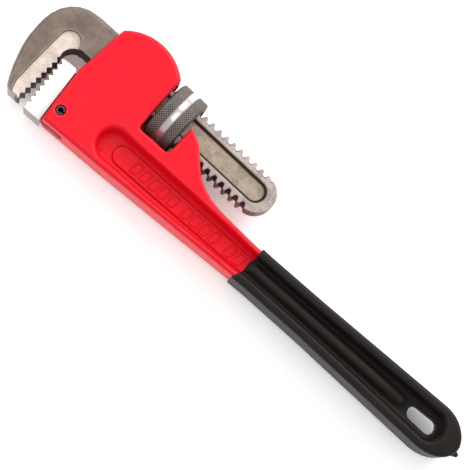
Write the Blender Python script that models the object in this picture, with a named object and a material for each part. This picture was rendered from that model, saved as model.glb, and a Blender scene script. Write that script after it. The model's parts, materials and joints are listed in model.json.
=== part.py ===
"""Heavy straight pipe wrench, 350 mm class, jaws closed.

Every size below is in millimetres. A piece is modelled in millimetres and turned into
metres in finish(), the last step of each piece.
Sizes are written in a working frame: x runs from the back of the hook jaw towards
the hanging slot, y from the handle's centre line towards the adjusting nut, z up from
the mid-plane. ROW_SHIFT moves that frame to the row frame, whose origin is the bottom
centre of the whole wrench lying on its side.
"""
import math

import bmesh
import bpy
from mathutils import Matrix, Vector

MM = 0.001
ROW_SHIFT = (-158.0, -20.55, 17.3)

GAP = 0.3                      # air between any two pieces

# head and handle casting
HEAD_HALF = 12.0               # half thickness of the head
BAR_HALF = 11.0                # half thickness of the handle bar
TAPER_X = (112.0, 160.0)       # the thickness runs from head to bar between these
ARCH_CENTRE = (55.6, 28.0)
ARCH_R = 29.4
ARCH_ROUND = 3.6
EDGE_ROUND = 1.3
WINDOW_X = (76.2, 96.6)
WINDOW_FLOOR = 15.1
FLANGE = 2.3                   # width of the I-beam's flange tops
WEB_HALF = 2.8
PANEL_HALF = 4.0
RECESS_X = 72.4                # centre of the recess's round end
END_X = 293.8                  # where the handle's end starts to close in
END_LENGTH = 17.5
HANG_X = (283.4, 293.8)        # centres of the hanging slot's round ends
HANG_R = 4.5

# grip
GRIP_WALL = 0.9
GRIP_TOP_X = 166.8
GRIP_BOTTOM_X = 163.1

# shank, nut and their common axis
NUT_CENTRE = (86.3, 33.8)
SHANK_TILT = math.radians(-1.65)
PITCH = 5.08                   # five threads to the inch
CREST_R = 12.5
ROOT_R = 10.1
CREST_AT = 1.64                # where a crest crosses the +y side at mid thickness
SHANK_HALF = 6.0
THREAD_X = (-26.0, 61.0)       # along the shank, counted from the nut's centre
TAIL_X = 58.4
TAIL_R = 11.0
POCKET_X = (-31.9, 57.3)
POCKET_R = 6.4
POCKET_FLOOR = 4.4
NUT_R = 17.3
NUT_HALF = 8.5
NUT_GROOVE_HALF = 1.6
NUT_GROOVE_R = 16.0
NUT_SIDES = 48

# hook jaw
HOOK_HALF = 9.0
HOOK_ROUND = 1.2
LAND_HALF = 7.0
THROAT_CENTRE = (27.8, 18.1)
THROAT_R = 8.25
HOOK_ROOT0 = (19.35, 14.95)
HOOK_ROOT7 = (17.65, -12.2)
HOOK_TOOTH = 1.85

# heel jaw and its pin
HEEL_HALF = 8.4
HEEL_SEAT = ((31.8, 17.0), (34.8, -16.7))
HEEL_TIP0 = (21.75, 15.6)
HEEL_TIP8 = (23.55, -13.6)
HEEL_TOOTH = 1.85
TONGUE_HALF = 4.0
TONGUE_X = 48.8
TONGUE_TOP = 11.2
PIN_AT = (39.9, -5.5)
PIN_R = 2.5
PIN_BORE = 1.4

# spring pack between the shank's back edge and the arch
LEAF_X = (-40.0, -12.5)
LEAF_THICK = 0.8
LEAF_HALF = 5.0
COIL_X = -29.5
COIL_R = 2.5
WIRE_R = 0.45


def clear_scene():
    for obj in list(bpy.data.objects):
        bpy.data.objects.remove(obj, do_unlink=True)


def material(name, colour, metallic, roughness):
    mat = bpy.data.materials.new(name)
    mat.use_nodes = True
    bsdf = mat.node_tree.nodes["Principled BSDF"]
    bsdf.inputs["Base Color"].default_value = (*colour, 1.0)
    bsdf.inputs["Metallic"].default_value = metallic
    bsdf.inputs["Roughness"].default_value = roughness
    return mat


# ---------------------------------------------------------------- outlines

def arc(centre, radius, start, end, count):
    """Points on a circle from angle start to angle end, in degrees."""
    points = []
    for i in range(count + 1):
        a = math.radians(start + (end - start) * i / count)
        points.append((centre[0] + radius * math.cos(a), centre[1] + radius * math.sin(a)))
    return points


def slot_outline(x0, r0, x1, r1, y=0.0, count=10):
    """A slot with round ends of radius r0 at x0 and r1 at x1."""
    return arc((x0, y), r0, 90, 270, count) + arc((x1, y), r1, -90, 90, count)


def to_shank(points):
    """Move outline points from the shank's own axes to the working frame."""
    c, s = math.cos(SHANK_TILT), math.sin(SHANK_TILT)
    return [(NUT_CENTRE[0] + c * x - s * y, NUT_CENTRE[1] + s * x + c * y) for x, y in points]


def shank_y(x, offset):
    """Height of a line parallel to the shank's axis, offset from it, at x."""
    return NUT_CENTRE[1] + (x - NUT_CENTRE[0]) * math.tan(SHANK_TILT) + offset


def bar_edges(grow):
    """The handle bar's top and bottom edge points, grown outwards."""
    top = [(150.0, 10.3), (163.0, 9.8), (175.0, 9.7), (210.0, 10.1), (END_X, 12.2)]
    bottom = [(150.0, -11.1), (163.0, -10.5), (175.0, -10.1), (210.0, -10.2), (END_X, -12.2)]
    return ([(x, y + grow) for x, y in top], [(x, y - grow) for x, y in bottom])


def cut_edge(points, x):
    """The part of an edge beyond x, with a new first point at x."""
    rest = [p for p in points if p[0] > x]
    before = points[len(points) - len(rest) - 1]
    t = (x - before[0]) / (rest[0][0] - before[0])
    return [(x, before[1] + t * (rest[0][1] - before[1]))] + rest


def bar_end(half, length, grow=0.0, count=9):
    """The handle's blunt end: half * (1 - t^2)^0.62 above and ^0.45 below, from +y to -y.

    The curve is moved outwards by `grow` along its normal.
    """
    curve = []
    for i in range(2 * count + 1):
        a = math.pi / 2 * (1.0 - i / count)
        t = math.cos(a)
        y = half * max(1.0 - t * t, 0.0) ** (0.62 if a > 0 else 0.45)
        curve.append((END_X + length * t, math.copysign(y, a)))
    points = []
    for before, here, after in zip(curve, curve[1:], curve[2:]):
        dx, dy = after[0] - before[0], after[1] - before[1]
        size = math.hypot(dx, dy)
        points.append((here[0] - dy / size * grow, here[1] + dx / size * grow))
    return points


def recess_outline(grow, inset=0.0):
    """Outline of the long I-beam recess for a bar grown by `grow`."""
    g = FLANGE + grow + inset
    top, bottom = bar_edges(0.0)
    upper = [(137.0, 8.4 - grow - inset)] + [(x, y - g) for x, y in top[1:]]
    lower = [(141.0, -9.1 + grow + inset)] + [(x, y + g) for x, y in bottom[1:]]
    radius = 9.5 - grow - inset
    left = arc((RECESS_X, -0.8), radius, 90, 270, 12)
    right = bar_end(12.2 - g, END_LENGTH - 8.7 - grow - inset, 0.0, 7)
    return left + [(104.0, -10.5 + grow + inset)] + lower + right[::-1] + upper[::-1]


def panel_outline(grow):
    return slot_outline(79.4, 5.3 + grow, 271.5, 3.7 + grow, -0.6)


# ---------------------------------------------------------------- solids

def new_object(name, bm):
    bmesh.ops.recalc_face_normals(bm, faces=bm.faces)
    mesh = bpy.data.meshes.new(name)
    bm.to_mesh(mesh)
    bm.free()
    obj = bpy.data.objects.new(name, mesh)
    bpy.context.scene.collection.objects.link(obj)
    return obj


def split_faces(bm):
    """Cut every face into triangles; the normals have to be right first."""
    bm.normal_update()
    bmesh.ops.triangulate(bm, faces=bm.faces)


def prism_mesh(bottom, top, z0, z1):
    """A solid between two outlines with the same number of points."""
    bm = bmesh.new()
    low = [bm.verts.new((x, y, z0)) for x, y in bottom]
    high = [bm.verts.new((x, y, z1)) for x, y in top]
    bm.faces.new(low[::-1])
    bm.faces.new(high)
    n = len(low)
    for i in range(n):
        j = (i + 1) % n
        bm.faces.new((low[i], low[j], high[j], high[i]))
    bmesh.ops.recalc_face_normals(bm, faces=bm.faces)
    return bm


def prism(name, outline, z0, z1, top=None):
    bm = prism_mesh(outline, top or outline, z0, z1)
    split_faces(bm)
    return new_object(name, bm)


def lathe(name, profile, sides, frame):
    """Turn a profile of (along, radius) about local X, then place it with frame."""
    bm = bmesh.new()
    rings = []
    for along, radius in profile:
        ring = []
        for k in range(sides):
            a = 2 * math.pi * k / sides
            p = (along, radius * math.cos(a), radius * math.sin(a))
            ring.append(bm.verts.new(p))
        rings.append(ring)
    for a, b in zip(rings, rings[1:]):
        for k in range(sides):
            m = (k + 1) % sides
            bm.faces.new((a[k], a[m], b[m], b[k]))
    bm.faces.new(rings[0][::-1])
    bm.faces.new(rings[-1])
    bm.transform(frame)
    return new_object(name, bm)


def thread_body(name, profile, sides, frame):
    """A body whose radius follows profile along a right-hand helix about local X.

    profile is a list of (along, radius) that repeats once per PITCH, so the last
    ring of one turn is the first ring of the next.
    """
    per_turn = sum(1 for along, _ in profile if along < profile[0][0] + PITCH - 1e-6)
    bm = bmesh.new()
    grid = []
    for k in range(sides):
        a = 2 * math.pi * k / sides
        column = []
        for along, radius in profile:
            x = along + PITCH * k / sides
            p = (x, radius * math.cos(a), radius * math.sin(a))
            column.append(bm.verts.new(p))
        grid.append(column)
    rows = len(profile)
    for k in range(sides):
        if k < sides - 1:
            for i in range(rows - 1):
                bm.faces.new((grid[k][i], grid[k + 1][i], grid[k + 1][i + 1], grid[k][i + 1]))
        else:
            for i in range(rows - 1 - per_turn):
                bm.faces.new((grid[k][i], grid[0][i + per_turn], grid[0][i + per_turn + 1],
                              grid[k][i + 1]))
    start = bm.verts.new((profile[0][0], 0, 0))
    end = bm.verts.new(((profile[-1][0] + PITCH), 0, 0))
    first = [grid[k][0] for k in range(sides)] + [grid[0][i] for i in range(per_turn, 0, -1)]
    last = [grid[k][rows - 1] for k in range(sides)]
    last += [grid[sides - 1][i] for i in range(rows - 2, rows - 2 - per_turn, -1)]
    for loop, apex in ((first, start), (last, end)):
        for i, vert in enumerate(loop):
            after = loop[(i + 1) % len(loop)]
            bm.faces.new((vert, after, apex))
    bm.transform(frame)
    return new_object(name, bm)


def combine(target, tool, operation):
    """Apply an exact boolean to target and remove the tool."""
    mod = target.modifiers.new("combine", "BOOLEAN")
    mod.operation = operation
    mod.solver = "EXACT"
    mod.object = tool
    graph = bpy.context.evaluated_depsgraph_get()
    result = bpy.data.meshes.new_from_object(target.evaluated_get(graph), depsgraph=graph)
    old = target.data
    target.modifiers.clear()
    target.data = result
    bpy.data.meshes.remove(old)
    bpy.data.objects.remove(tool, do_unlink=True)


def finish(obj, name, mat, origin):
    """Name a piece, tidy its mesh, give it one material and set its origin."""
    bm = bmesh.new()
    bm.from_mesh(obj.data)
    bmesh.ops.remove_doubles(bm, verts=bm.verts, dist=0.02)
    bmesh.ops.dissolve_degenerate(bm, edges=bm.edges, dist=0.01)
    split_faces(bm)
    bmesh.ops.translate(bm, verts=bm.verts, vec=-Vector(origin))
    bmesh.ops.scale(bm, verts=bm.verts, vec=(MM, MM, MM))
    bm.to_mesh(obj.data)
    bm.free()
    obj.name = name
    obj.data.name = name
    obj.data.materials.clear()
    obj.data.materials.append(mat)
    obj.location = (Vector(origin) + Vector(ROW_SHIFT)) * MM
    return obj


def round_edges(bm, width, segments, wanted):
    edges = [e for e in bm.edges if wanted(e)]
    bmesh.ops.bevel(bm, geom=edges, offset=width, segments=segments, profile=0.5,
                    affect="EDGES", clamp_overlap=False)


def on_face(edge, half):
    return all(abs(abs(v.co.z) - half) < 1e-3 for v in edge.verts) and (
        edge.verts[0].co.z * edge.verts[1].co.z > 0)


def shank_frame():
    return Matrix.Translation(Vector((*NUT_CENTRE, 0.0))) @ Matrix.Rotation(
        SHANK_TILT, 4, "Z")


# ---------------------------------------------------------------- casting

def casting_outline():
    top, bottom = bar_edges(0.0)
    seat = [(35.15, -15.2), (32.1, 18.2), (33.4, 26.5)]
    arch = arc(ARCH_CENTRE, ARCH_R, 133.5, 47, 16)
    window = arc((WINDOW_X[0] + 2.0, WINDOW_FLOOR + 2.0), 2.0, 180, 270, 4)
    window += arc((WINDOW_X[1] - 2.0, WINDOW_FLOOR + 2.0), 2.0, 270, 360, 4)
    fork = [(WINDOW_X[1], 32.6), (97.6, 33.6), (104.6, 30.4), (107.8, 27.4), (110.4, 24.7),
            (113.0, 22.0), (115.6, 19.5), (118.1, 17.4), (120.8, 15.7), (123.4, 14.4),
            (126.0, 13.5), (128.6, 12.6), (131.3, 11.9), (136.5, 11.1)]
    under = [(103.8, -13.05), (71.7, -14.4), (50.3, -14.8)]
    return (seat + arch + window + fork + top + bar_end(12.2, END_LENGTH)
            + bottom[::-1] + under)


def make_casting(mat):
    bm = prism_mesh(casting_outline(), casting_outline(), -HEAD_HALF, HEAD_HALF)

    def arch_edge(e):
        return on_face(e, HEAD_HALF) and all(
            abs((v.co.xy - Vector(ARCH_CENTRE)).length - ARCH_R) < 0.01 for v in e.verts)

    round_edges(bm, ARCH_ROUND, 3, arch_edge)
    round_edges(bm, EDGE_ROUND, 2, lambda e: on_face(e, HEAD_HALF) and len(e.link_faces) == 2
                and min(abs(f.normal.z) for f in e.link_faces) < 0.1)
    split_faces(bm)
    body = new_object("casting", bm)

    for side in (1, -1):
        floor = prism("recess", recess_outline(0.0, 1.2), side * WEB_HALF, side * 14.0,
                      recess_outline(0.0, -0.2))
        combine(body, floor, "DIFFERENCE")
    combine(body, prism("panel", panel_outline(0.0), -PANEL_HALF, PANEL_HALF), "UNION")

    passage = [(28.0, shank_y(28.0, -13.1)), (78.0, shank_y(78.0, -13.1)), (78.0, 48.0),
               (70.0, 50.2), (62.0, 52.0), (48.0, 52.2), (41.0, 51.0), (28.0, 51.0)]
    combine(body, prism("passage", passage, -6.5, 6.5), "DIFFERENCE")
    neck = [(27.0, 25.3), (50.0, 23.6), (50.0, 50.4), (27.0, 50.4)]
    combine(body, prism("neck", neck, -9.4, 9.4), "DIFFERENCE")
    channel = [(95.0, 19.1), (97.0, 18.7), (127.0, 13.2), (142.0, 11.9), (142.0, 60.0),
               (95.0, 60.0)]
    combine(body, prism("channel", channel, -6.5, 6.5), "DIFFERENCE")

    tongue_gap = TONGUE_HALF + GAP
    key = lathe_slot(TONGUE_X + GAP, tongue_gap, 20.0, -20.0, TONGUE_TOP + GAP)
    combine(body, key, "DIFFERENCE")
    hole = lathe("hole", [(-14.0, PIN_R + GAP), (14.0, PIN_R + GAP)], 24,
                 Matrix.Translation(Vector((*PIN_AT, 0))) @ Matrix.Rotation(
                     math.pi / 2, 4, "Y"))
    combine(body, hole, "DIFFERENCE")

    coil_at = to_shank([(COIL_X, 18.0)])[0]
    pocket = lathe("pocket", [(48.0, COIL_R + 1.5), (55.0, COIL_R + 1.5)], 20,
                   Matrix.Translation(Vector((coil_at[0], 0, 0))) @ Matrix.Rotation(
                       math.pi / 2, 4, "Z"))
    combine(body, pocket, "DIFFERENCE")
    slot = slot_outline(HANG_X[0], HANG_R + GAP + GRIP_WALL, HANG_X[1], HANG_R + GAP + GRIP_WALL)
    combine(body, prism("slot", slot, -14, 14), "DIFFERENCE")
    thin_bar(body)
    return finish(body, "handle_casting", mat, (*NUT_CENTRE, 0.0))


def lathe_slot(x_end, half, x_start, y_low, y_high):
    """A flat key-shaped solid standing along y, its far end rounded in plan."""
    plan = [(x_start, -half)] + arc((x_end - half, 0.0), half, -90, 90, 8) + [(x_start, half)]
    bm = prism_mesh(plan, plan, y_low, y_high)
    split_faces(bm)
    bm.transform(Matrix(((1, 0, 0, 0), (0, 0, 1, 0), (0, -1, 0, 0), (0, 0, 0, 1))))
    return new_object("key", bm)


def thin_bar(obj):
    """Bring the casting's thickness down from head to bar between TAPER_X."""
    bm = bmesh.new()
    bm.from_mesh(obj.data)
    for x in TAPER_X:
        geom = list(bm.verts) + list(bm.edges) + list(bm.faces)
        bmesh.ops.bisect_plane(bm, geom=geom, plane_co=(x, 0, 0), plane_no=(1, 0, 0))
    for v in bm.verts:
        t = (v.co.x - TAPER_X[0]) / (TAPER_X[1] - TAPER_X[0])
        if abs(v.co.z) > 6.6 and t > 0:
            v.co.z *= 1.0 - (1.0 - BAR_HALF / HEAD_HALF) * min(t, 1.0)
    bm.to_mesh(obj.data)
    bm.free()


# ---------------------------------------------------------------- grip

def grip_solid(name, grow, start_top, start_bottom):
    """The handle bar grown by `grow`, from a slanted start to its end."""
    top, bottom = bar_edges(grow)
    outline = (cut_edge(top, start_top) + bar_end(12.2, END_LENGTH, grow)
               + cut_edge(bottom, start_bottom)[::-1])
    half = BAR_HALF + grow
    bm = prism_mesh(outline, outline, -half, half)
    round_edges(bm, EDGE_ROUND + grow, 3, lambda e: on_face(e, half) and len(e.link_faces) == 2
                and min(abs(f.normal.z) for f in e.link_faces) < 0.1
                and max(v.co.x for v in e.verts) > (start_top + 1))
    split_faces(bm)
    body = new_object(name, bm)
    for side in (1, -1):
        cutter = prism("recess", recess_outline(grow, 1.2), side * (WEB_HALF + grow), side * 16.0,
                       recess_outline(grow, -0.2))
        combine(body, cutter, "DIFFERENCE")
    ridge = slot_outline(150.0, 4.8 + grow, 271.5, 3.7 + grow, -0.6)
    half_ridge = PANEL_HALF + grow
    ridge = prism("ridge", ridge, -half_ridge, half_ridge)
    fence = prism("fence", [(start_bottom, -15), (start_top, 15), (330, 15), (330, -15)], -20, 20)
    combine(ridge, fence, "INTERSECT")
    combine(body, ridge, "UNION")
    return body


def make_grip(mat):
    outer = grip_solid("outer", GAP + GRIP_WALL, GRIP_TOP_X, GRIP_BOTTOM_X)
    inner = grip_solid("inner", GAP, GRIP_TOP_X - 6.0, GRIP_BOTTOM_X - 6.0)
    lined = slot_outline(HANG_X[0], HANG_R + GRIP_WALL, HANG_X[1], HANG_R + GRIP_WALL)
    combine(inner, prism("lined", lined, -15, 15), "DIFFERENCE")
    combine(outer, inner, "DIFFERENCE")
    slot = slot_outline(HANG_X[0], HANG_R, HANG_X[1], HANG_R)
    combine(outer, prism("slot", slot, -16, 16), "DIFFERENCE")
    nub = lathe("nub", [(311.8, 2.6), (313.2, 1.7), (314.6, 1.25), (315.6, 1.0), (316.0, 0.5)],
                12, Matrix.Translation((0, -1.0, 0)))
    combine(outer, nub, "UNION")
    return finish(outer, "grip_sleeve", mat, (240.0, 0.0, 0.0))


# ---------------------------------------------------------------- jaws

def hook_outline():
    """Hook head and smooth neck, with the jaw's teeth on its front face."""
    back = [(50.0, shank_y(50.0, 11.2)), (32.5, 46.6), (21.5, 46.7), (14.9, 45.8), (9.6, 43.5),
            (5.9, 40.4), (2.8, 36.1), (0.8, 30.9), (0.0, 25.5), (0.0, 20.5), (0.35, 13.5),
            (1.5, 7.5), (3.2, 2.0), (4.9, -3.2), (7.4, -8.9), (9.8, -13.3), (11.2, -14.8),
            (18.6, -15.1)]
    teeth = [(19.3, -14.6)]
    dx = (HOOK_ROOT7[0] - HOOK_ROOT0[0]) / 7.0
    dy = (HOOK_ROOT7[1] - HOOK_ROOT0[1]) / 7.0
    for k in range(7, 0, -1):
        root = (HOOK_ROOT0[0] + dx * k, HOOK_ROOT0[1] + dy * k)
        tip = (root[0] - dx * 0.5 + HOOK_TOOTH, root[1] - dy * 0.5)
        teeth += [root, (tip[0], tip[1] - 0.15), (tip[0], tip[1] + 0.15)]
    throat = [HOOK_ROOT0, (20.2, 16.6)] + arc(THROAT_CENTRE, THROAT_R, 178, 90, 8)
    return back + teeth + throat + [(32.0, 26.2), (50.0, shank_y(50.0, -10.7))]


def land_outline():
    return ([(11.9, -17.5), (12.6, -13.2), (11.5, -8.0), (11.7, 4.0), (12.4, 25.6)]
            + arc((18.5, 25.6), 6.1, 172, -22, 11) + [(30.0, 20.0), (30.0, -17.5)])


def thread_profile(start, end, inside, outside):
    """(along, radius) points of a thread; inside gives the nut's half of the mesh."""
    crest, root, flat, foot = inside
    first = CREST_AT + PITCH * math.ceil((start - CREST_AT) / PITCH)
    turns = int((end - first) / PITCH)
    points = []
    for k in range(turns + 1):
        c = first + PITCH * k
        points += [(c - flat, crest), (c + flat, crest), (c + foot, root),
                   (c + PITCH - foot, root)]
    lead = [(x - PITCH * n, outside[0]) for n in outside[1] for x, _ in points[:4]]
    tail = [(x + PITCH * n, outside[2]) for n in outside[3] for x, _ in points[-4:]]
    return lead + points + tail


def is_back(vert):
    """True on the hook's smooth back and top, away from teeth, throat and tip."""
    return vert.co.y > 40.0 or vert.co.x < 11.2


def make_hook(mat):
    bm = prism_mesh(hook_outline(), hook_outline(), -HOOK_HALF, HOOK_HALF)
    round_edges(bm, HOOK_ROUND, 2, lambda e: on_face(e, HOOK_HALF)
                and len(e.link_faces) == 2 and all(is_back(v) for v in e.verts))
    split_faces(bm)
    hook = new_object("hook", bm)
    for side in (1, -1):
        combine(hook, prism("land", land_outline(), side * LAND_HALF, side * 12.0), "DIFFERENCE")
        mill = to_shank(slot_outline(POCKET_X[0], 13.6, 0.0, 20.0))
        combine(hook, prism("mill", mill, side * SHANK_HALF, side * 12.0), "DIFFERENCE")

    blank = to_shank([(-40.5, 11.2), (-41.0, -9.5), (-33.0, -10.9), (-25.0, -12.9),
                      (56.2, -12.9), (57.8, -TAIL_R)]
                     + arc((TAIL_X, 0.0), TAIL_R, -88, 88, 14)
                     + [(57.8, TAIL_R), (56.2, 12.9), (-25.0, 12.9), (-33.0, 11.3)])
    shank = prism("shank", blank, -SHANK_HALF, SHANK_HALF)
    die = thread_profile(THREAD_X[0], THREAD_X[1] - 6.0, (CREST_R, ROOT_R, 0.75, 1.69),
                         (40.0, (5, 4, 3, 2, 1), CREST_R + 0.3, (1, 2, 3, 4)))
    combine(shank, thread_body("die", die, 40, shank_frame()), "INTERSECT")
    combine(hook, shank, "UNION")
    for side in (1, -1):
        low = to_shank(slot_outline(POCKET_X[0], POCKET_R - 0.9, POCKET_X[1], POCKET_R - 0.9))
        high = to_shank(slot_outline(POCKET_X[0], POCKET_R, POCKET_X[1], POCKET_R))
        pocket = prism("pocket", low, side * POCKET_FLOOR, side * (SHANK_HALF + 0.4), high)
        combine(hook, pocket, "DIFFERENCE")
    return finish(hook, "hook_jaw", mat, (*NUT_CENTRE, 0.0))


def heel_outline():
    (sx0, sy0), (sx1, sy1) = HEEL_SEAT
    dx = (HEEL_TIP8[0] - HEEL_TIP0[0]) / 8.0
    dy = (HEEL_TIP8[1] - HEEL_TIP0[1]) / 8.0
    face = [(26.0, sy0 + 0.1), (HEEL_TIP0[0] + 0.5, HEEL_TIP0[1] + 0.9)]
    for k in range(9):
        tip = (HEEL_TIP0[0] + dx * k, HEEL_TIP0[1] + dy * k)
        face += [(tip[0], tip[1] + 0.15), (tip[0], tip[1] - 0.15)]
        if k < 8:
            face.append((tip[0] + dx * 0.5 + HEEL_TOOTH, tip[1] + dy * 0.5))
    face += [(HEEL_TIP8[0] + 1.3, sy1 + 1.2), (HEEL_TIP8[0] + 0.5, sy1)]
    return face + [(sx1, sy1), (sx0, sy0 - 1.2), (sx0 - 1.1, sy0 + 0.1)]


def make_heel(mat):
    heel = prism("heel", heel_outline(), -HEEL_HALF, HEEL_HALF)
    tongue = lathe_slot(TONGUE_X, TONGUE_HALF, 30.5, -15.0, TONGUE_TOP)
    combine(heel, tongue, "UNION")
    hole = lathe("hole", [(-14.0, PIN_R + GAP), (14.0, PIN_R + GAP)], 24,
                 Matrix.Translation(Vector((*PIN_AT, 0))) @ Matrix.Rotation(
                     math.pi / 2, 4, "Y"))
    combine(heel, hole, "DIFFERENCE")
    return finish(heel, "heel_jaw", mat, (*PIN_AT, 0.0))


def make_pin(mat):
    """Rolled spring pin: a tube with one open slit."""
    outer = arc(PIN_AT, PIN_R, 14, 346, 22)
    inner = arc(PIN_AT, PIN_BORE, 342, 18, 22)
    bm = prism_mesh(outer + inner, outer + inner, -11.4, 11.4)
    split_faces(bm)
    return finish(new_object("pin", bm), "heel_jaw_pin", mat, (*PIN_AT, 0.0))


# ---------------------------------------------------------------- nut and springs

def make_nut(mat):
    r, g, h, w = NUT_R, NUT_GROOVE_R, NUT_HALF, NUT_GROOVE_HALF
    outside = [(-h, 15.2), (-h + 0.9, r - 0.1), (-h + 1.3, r), (-w - 0.5, r), (-w, g), (w, g),
               (w + 0.5, r), (h - 1.3, r), (h - 0.9, r - 0.1), (h, 15.2)]
    nut = lathe("nut", outside, NUT_SIDES, shank_frame())
    bore = thread_profile(-19.0, 14.5, (CREST_R + 0.4, ROOT_R + 0.5, 1.0, 1.9),
                          (CREST_R + 0.4, (), CREST_R, ()))
    combine(nut, thread_body("bore", bore, 40, shank_frame()), "DIFFERENCE")
    return finish(nut, "adjusting_nut", mat, (*NUT_CENTRE, 0.0))


def make_leaf(mat):
    """Flat spring lying on the shank's back edge, its ends turned up a little."""
    x0, x1 = LEAF_X
    y = CREST_R + GAP + 0.15
    under = [(x0, y + 0.5), (x0 + 3.0, y), (x1 - 3.0, y), (x1, y + 0.4)]
    over = [(x, v + LEAF_THICK) for x, v in under]
    leaf = prism("leaf", to_shank(under + over[::-1]), -LEAF_HALF, LEAF_HALF)
    return finish(leaf, "flat_spring", mat, (*NUT_CENTRE, 0.0))


def make_coil(mat):
    """Short coil spring standing on the flat spring, in the pocket of the arch."""
    turns, steps, sides = 3.0, 16, 6
    base = CREST_R + GAP + 0.15 + LEAF_THICK + GAP + WIRE_R
    rise = 1.12
    bm = bmesh.new()
    rings = []
    for i in range(int(turns * steps) + 1):
        a = 2 * math.pi * i / steps
        centre = Vector((COIL_X + COIL_R * math.cos(a), base + rise * i / steps,
                         COIL_R * math.sin(a)))
        out = Vector((math.cos(a), 0.0, math.sin(a)))
        ring = []
        for k in range(sides):
            b = 2 * math.pi * k / sides
            p = centre + out * (WIRE_R * math.cos(b)) + Vector((0, WIRE_R * math.sin(b), 0))
            ring.append(bm.verts.new(p))
        rings.append(ring)
    for a, b in zip(rings, rings[1:]):
        for k in range(sides):
            m = (k + 1) % sides
            bm.faces.new((a[k], a[m], b[m], b[k]))
    bm.faces.new(rings[0][::-1])
    bm.faces.new(rings[-1])
    bm.transform(shank_frame())
    return finish(new_object("coil", bm), "coil_spring", mat, (*NUT_CENTRE, 0.0))


def main():
    clear_scene()
    red = material("red_paint", (0.80, 0.035, 0.045), 0.0, 0.38)
    vinyl = material("black_vinyl", (0.022, 0.020, 0.019), 0.0, 0.42)
    forged = material("forged_steel", (0.26, 0.225, 0.195), 0.85, 0.5)
    bright = material("bright_steel", (0.74, 0.72, 0.70), 0.9, 0.3)
    knurled = material("knurled_steel", (0.36, 0.34, 0.325), 0.9, 0.4)
    spring = material("spring_steel", (0.20, 0.195, 0.19), 0.9, 0.35)
    dark = material("pin_steel", (0.12, 0.11, 0.10), 0.9, 0.4)
    make_casting(red)
    make_grip(vinyl)
    make_heel(bright)
    make_pin(dark)
    make_hook(forged)
    make_nut(knurled)
    make_leaf(spring)
    make_coil(spring)


main()
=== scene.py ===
"""Heavy straight pipe wrench: finished surfaces, finishes, studio light and camera.

Shapes are worked out in millimetres in a working frame: x runs from the back of the
hook jaw towards the hanging slot, y from the handle's centre line towards the nut, and
z up from the mid-plane. place() turns that frame into the model's own, in metres.
"""
import json
import math

import bmesh
import bpy
import numpy as np
from bpy.props import FloatProperty, FloatVectorProperty, IntProperty, PointerProperty
from mathutils import Matrix, Vector


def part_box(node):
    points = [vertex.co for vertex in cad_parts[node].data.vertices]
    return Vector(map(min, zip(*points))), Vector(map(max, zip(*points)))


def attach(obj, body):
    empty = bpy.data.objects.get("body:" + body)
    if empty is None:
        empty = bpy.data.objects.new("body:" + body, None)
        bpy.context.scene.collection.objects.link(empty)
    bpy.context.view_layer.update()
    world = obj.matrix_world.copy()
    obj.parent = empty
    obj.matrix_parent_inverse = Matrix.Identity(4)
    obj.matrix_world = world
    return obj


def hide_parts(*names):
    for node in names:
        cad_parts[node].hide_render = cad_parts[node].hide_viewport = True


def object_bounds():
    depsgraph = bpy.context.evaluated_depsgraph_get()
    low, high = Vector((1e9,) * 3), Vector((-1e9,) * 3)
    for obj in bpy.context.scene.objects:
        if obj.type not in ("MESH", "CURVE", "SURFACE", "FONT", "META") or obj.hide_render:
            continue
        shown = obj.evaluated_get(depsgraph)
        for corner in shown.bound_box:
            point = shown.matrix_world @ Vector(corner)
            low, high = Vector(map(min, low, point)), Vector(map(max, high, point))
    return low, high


bl_info = {
    "name": "Pipe Wrench",
    "version": (1, 0, 0),
    "blender": (4, 5, 0),
    "location": "3D View > Sidebar > Pipe Wrench",
    "description": "Builds the surfaces and finishes of a heavy straight pipe wrench",
    "category": "Add Mesh",
}

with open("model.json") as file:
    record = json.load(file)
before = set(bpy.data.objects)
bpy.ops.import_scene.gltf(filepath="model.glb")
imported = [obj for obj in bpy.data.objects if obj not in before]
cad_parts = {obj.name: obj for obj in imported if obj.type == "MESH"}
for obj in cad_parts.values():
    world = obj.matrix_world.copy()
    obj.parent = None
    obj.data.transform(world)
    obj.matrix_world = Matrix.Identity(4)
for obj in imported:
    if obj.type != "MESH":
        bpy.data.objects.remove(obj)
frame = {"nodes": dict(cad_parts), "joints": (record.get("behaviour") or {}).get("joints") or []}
CAD_BOX = [list(corner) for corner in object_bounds()]
JOINTS = {joint["name"]: joint for joint in frame["joints"]}

MM = 0.001
HOOK_LOW, HOOK_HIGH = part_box("hook_jaw")
GRIP_LOW, GRIP_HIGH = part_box("grip_sleeve")
NUT_LOW, NUT_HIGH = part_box("adjusting_nut")
ORIGIN = np.array([HOOK_LOW.x, (GRIP_LOW.y + GRIP_HIGH.y) / 2, (NUT_LOW.z + NUT_HIGH.z) / 2])
NUT_AT = (np.array(JOINTS["nut_spin"]["pos_m"]) - ORIGIN) / MM
SHANK_TURN = math.atan2(JOINTS["nut_spin"]["axis"][1], JOINTS["nut_spin"]["axis"][0])

# thread, in millimetres: five to the inch
PITCH = 5.08
CREST_R = 12.5
ROOT_R = 10.1
CREST_AT = 1.64


# ------------------------------------------------------------------ sizes and colours

def size(label, default, about, low=0.0, high=1000.0):
    return FloatProperty(name=label, description=about + ", in millimetres", default=default,
                         min=low, max=high)


def colour(label, default, about):
    return FloatVectorProperty(name=label, description=about, default=default, size=3,
                               min=0.0, max=1.0, subtype="COLOR")


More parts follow.
